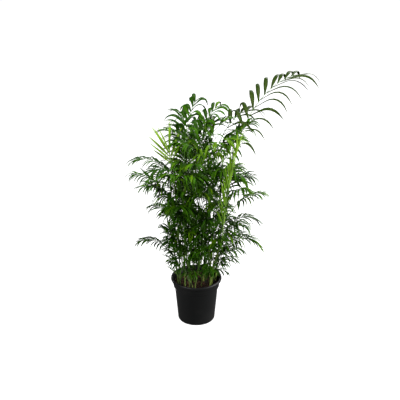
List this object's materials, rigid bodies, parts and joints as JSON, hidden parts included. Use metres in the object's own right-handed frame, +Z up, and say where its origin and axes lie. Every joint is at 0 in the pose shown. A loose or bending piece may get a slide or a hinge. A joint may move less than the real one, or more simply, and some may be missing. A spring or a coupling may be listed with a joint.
{
  "type": "potted parlour palm",
  "caption": "Clump of slender green canes with arching feathery fronds, standing in bark soil in a plain round black pot with a stepped rim.",
  "frame": {"origin": "centre of the pot's flat underside", "axes": "+Z up along the pot's axis; the front of the plant faces -Y, and the tall frond reaches out towards +X"},
  "size_m": [0.6331, 0.4001, 0.8268],
  "materials": {
    "pot": "plain black nursery-pot plastic with a soft sheen",
    "soil": "rough reddish-brown bark and peat",
    "cane": "smooth yellow-green living cane",
    "leaf": "thin deep green leaf blade with a low gloss",
    "young_leaf": "thin fresh yellow-green leaf blade"
  },
  "bodies": {
    "root": {"pot": "pot", "soil": "soil", "cane_a": "cane", "cane_b": "cane", "cane_c": "cane", "cane_d": "cane", "cane_e": "cane", "cane_f": "cane", "cane_g": "cane", "cane_h": "cane", "cane_i": "cane", "cane_j": "cane", "cane_k": "cane", "cane_l": "cane", "cane_m": "cane", "frond_tall_right": "leaf", "frond_second_right": "leaf", "frond_spear_right": "young_leaf", "frond_top_left": "leaf", "frond_top_mid": "leaf", "frond_young_left": "young_leaf", "frond_crest": "leaf", "frond_crest_left": "leaf", "frond_crest_right": "leaf", "frond_left_high": "leaf", "frond_left_mid": "leaf", "frond_left_low_mid": "leaf", "frond_left_low": "leaf", "frond_left_foot": "leaf", "frond_left_front_high": "leaf", "frond_left_front": "leaf", "frond_left_front_low": "leaf", "frond_front_left_top": "leaf", "frond_front_left_high": "leaf", "frond_front_left": "leaf", "frond_front_left_mid": "leaf", "frond_front_left_low": "leaf", "frond_front": "leaf", "frond_front_low": "leaf", "frond_front_top": "leaf", "frond_front_right_top": "leaf", "frond_front_right_high": "leaf", "frond_front_right": "leaf", "frond_front_right_mid": "leaf", "frond_front_right_low": "leaf", "frond_right_front": "leaf", "frond_right_upper": "leaf", "frond_right_mid": "leaf", "frond_right_lower": "leaf", "frond_right_low": "leaf", "frond_right_hem": "leaf", "frond_right_back": "leaf", "frond_back_top": "leaf", "frond_back_high": "leaf", "frond_back": "leaf", "frond_back_mid": "leaf", "frond_back_low": "leaf", "frond_back_left_high": "leaf", "frond_back_left": "leaf", "frond_back_left_low": "leaf"}
  },
  "joints": []
}
